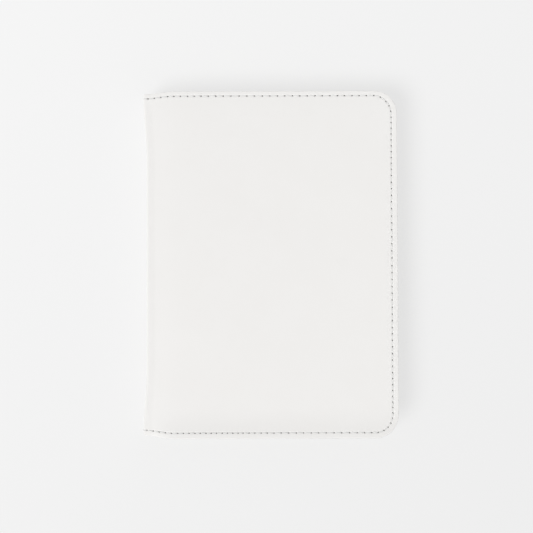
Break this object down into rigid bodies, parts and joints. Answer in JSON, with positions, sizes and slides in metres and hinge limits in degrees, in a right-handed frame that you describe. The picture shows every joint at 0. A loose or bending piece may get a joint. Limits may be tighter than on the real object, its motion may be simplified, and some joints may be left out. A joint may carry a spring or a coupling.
{
  "type": "prayer book",
  "caption": "Closed pocket prayer book in a padded, edge-stitched leatherette cover; both joints of the spine fold and the pages open with the covers.",
  "frame": {"origin": "under the middle of the closed book, on the surface that it lies on", "axes": "+X from the spine to the fore-edge, +Y from the tail to the head, +Z from the back cover up to the front cover"},
  "size_m": [0.11, 0.15, 0.016],
  "materials": {
    "leatherette": "satin",
    "lining": "matte",
    "foam": "matte",
    "board": "matte",
    "endpaper": "matte",
    "page_paper": "matte",
    "thread": "satin",
    "mull": "matte",
    "glue": "satin",
    "band_cloth": "satin"
  },
  "bodies": {
    "back_cover": {"back_skin": "leatherette", "back_foam": "foam", "back_board": "board", "back_lining": "lining", "back_pastedown": "endpaper", "back_needle_thread": "thread", "back_bobbin_thread": "thread"},
    "spine": {"spine_skin": "leatherette", "spine_lining": "lining", "spine_needle_thread": "thread", "spine_bobbin_thread": "thread", "mull": "mull", "spine_glue": "glue", "sewing_thread": "thread", "headband": "band_cloth", "tailband": "band_cloth"},
    "front_cover": {"front_skin": "leatherette", "front_foam": "foam", "front_board": "board", "front_lining": "lining", "front_pastedown": "endpaper", "front_needle_thread": "thread", "front_bobbin_thread": "thread"},
    "front_flyleaf": {"front_flyleaf": "endpaper"},
    "section_1": {"section_1": "page_paper"},
    "section_2": {"section_2": "page_paper"},
    "section_3": {"section_3": "page_paper"},
    "section_4": {"section_4": "page_paper"},
    "leaf_1": {"leaf_1": "page_paper"},
    "leaf_2": {"leaf_2": "page_paper"},
    "back_flyleaf": {"back_flyleaf": "endpaper"},
    "section_8": {"section_8": "page_paper"},
    "section_7": {"section_7": "page_paper"},
    "section_6": {"section_6": "page_paper"},
    "section_5": {"section_5": "page_paper"},
    "leaf_4": {"leaf_4": "page_paper"},
    "leaf_3": {"leaf_3": "page_paper"}
  },
  "joints": [
    {"name": "back_hinge", "type": "hinge", "parent": "back_cover", "child": "spine", "pos_m": [-0.05395, 0, 0.00175], "axis": [0, -1, 0], "range_deg": [0, 90]},
    {"name": "front_hinge", "type": "hinge", "parent": "spine", "child": "front_cover", "pos_m": [-0.05395, 0, 0.01425], "axis": [0, -1, 0], "range_deg": [0, 90]},
    {"name": "front_flyleaf_turn", "type": "hinge", "parent": "spine", "child": "front_flyleaf", "pos_m": [-0.05395, 0, 0.01425], "axis": [0, -1, 0], "range_deg": [0, 90]},
    {"name": "section_1_turn", "type": "hinge", "parent": "spine", "child": "section_1", "pos_m": [-0.0522, 0, 0.0125], "axis": [0, -1, 0], "range_deg": [0, 90]},
    {"name": "section_2_turn", "type": "hinge", "parent": "spine", "child": "section_2", "pos_m": [-0.0516, 0, 0.0119], "axis": [0, -1, 0], "range_deg": [0, 90]},
    {"name": "section_3_turn", "type": "hinge", "parent": "spine", "child": "section_3", "pos_m": [-0.0516, 0, 0.0119], "axis": [0, -1, 0], "range_deg": [0, 90]},
    {"name": "section_4_turn", "type": "hinge", "parent": "spine", "child": "section_4", "pos_m": [-0.0516, 0, 0.0119], "axis": [0, -1, 0], "range_deg": [0, 90]},
    {"name": "leaf_1_turn", "type": "hinge", "parent": "spine", "child": "leaf_1", "pos_m": [-0.0516, 0, 0.0119], "axis": [0, -1, 0], "range_deg": [0, 90]},
    {"name": "leaf_2_turn", "type": "hinge", "parent": "spine", "child": "leaf_2", "pos_m": [-0.0516, 0, 0.0119], "axis": [0, -1, 0], "range_deg": [0, 90]},
    {"name": "back_flyleaf_turn", "type": "hinge", "parent": "spine", "child": "back_flyleaf", "pos_m": [-0.05395, 0, 0.00175], "axis": [0, -1, 0], "range_deg": [-90, 0]},
    {"name": "section_8_turn", "type": "hinge", "parent": "spine", "child": "section_8", "pos_m": [-0.0522, 0, 0.0035], "axis": [0, -1, 0], "range_deg": [-90, 0]},
    {"name": "section_7_turn", "type": "hinge", "parent": "spine", "child": "section_7", "pos_m": [-0.0516, 0, 0.0041], "axis": [0, -1, 0], "range_deg": [-90, 0]},
    {"name": "section_6_turn", "type": "hinge", "parent": "spine", "child": "section_6", "pos_m": [-0.0516, 0, 0.0041], "axis": [0, -1, 0], "range_deg": [-90, 0]},
    {"name": "section_5_turn", "type": "hinge", "parent": "spine", "child": "section_5", "pos_m": [-0.0516, 0, 0.0041], "axis": [0, -1, 0], "range_deg": [-90, 0]},
    {"name": "leaf_4_turn", "type": "hinge", "parent": "spine", "child": "leaf_4", "pos_m": [-0.0516, 0, 0.0041], "axis": [0, -1, 0], "range_deg": [-90, 0]},
    {"name": "leaf_3_turn", "type": "hinge", "parent": "spine", "child": "leaf_3", "pos_m": [-0.0516, 0, 0.0041], "axis": [0, -1, 0], "range_deg": [-90, 0]}
  ],
  "couplings": [
    {"joint": "front_flyleaf_turn", "follows": "front_hinge", "ratio": 1},
    {"joint": "section_1_turn", "follows": "front_hinge", "ratio": 0.995},
    {"joint": "section_2_turn", "follows": "front_hinge", "ratio": 0.985},
    {"joint": "section_3_turn", "follows": "front_hinge", "ratio": 0.97},
    {"joint": "section_4_turn", "follows": "front_hinge", "ratio": 0.95},
    {"joint": "leaf_1_turn", "follows": "front_hinge", "ratio": 0.91},
    {"joint": "leaf_2_turn", "follows": "front_hinge", "ratio": 0.84},
    {"joint": "back_flyleaf_turn", "follows": "back_hinge", "ratio": -1},
    {"joint": "section_8_turn", "follows": "back_hinge", "ratio": -0.995},
    {"joint": "section_7_turn", "follows": "back_hinge", "ratio": -0.985},
    {"joint": "section_6_turn", "follows": "back_hinge", "ratio": -0.97},
    {"joint": "section_5_turn", "follows": "back_hinge", "ratio": -0.95},
    {"joint": "leaf_4_turn", "follows": "back_hinge", "ratio": -0.91},
    {"joint": "leaf_3_turn", "follows": "back_hinge", "ratio": -0.84}
  ]
}
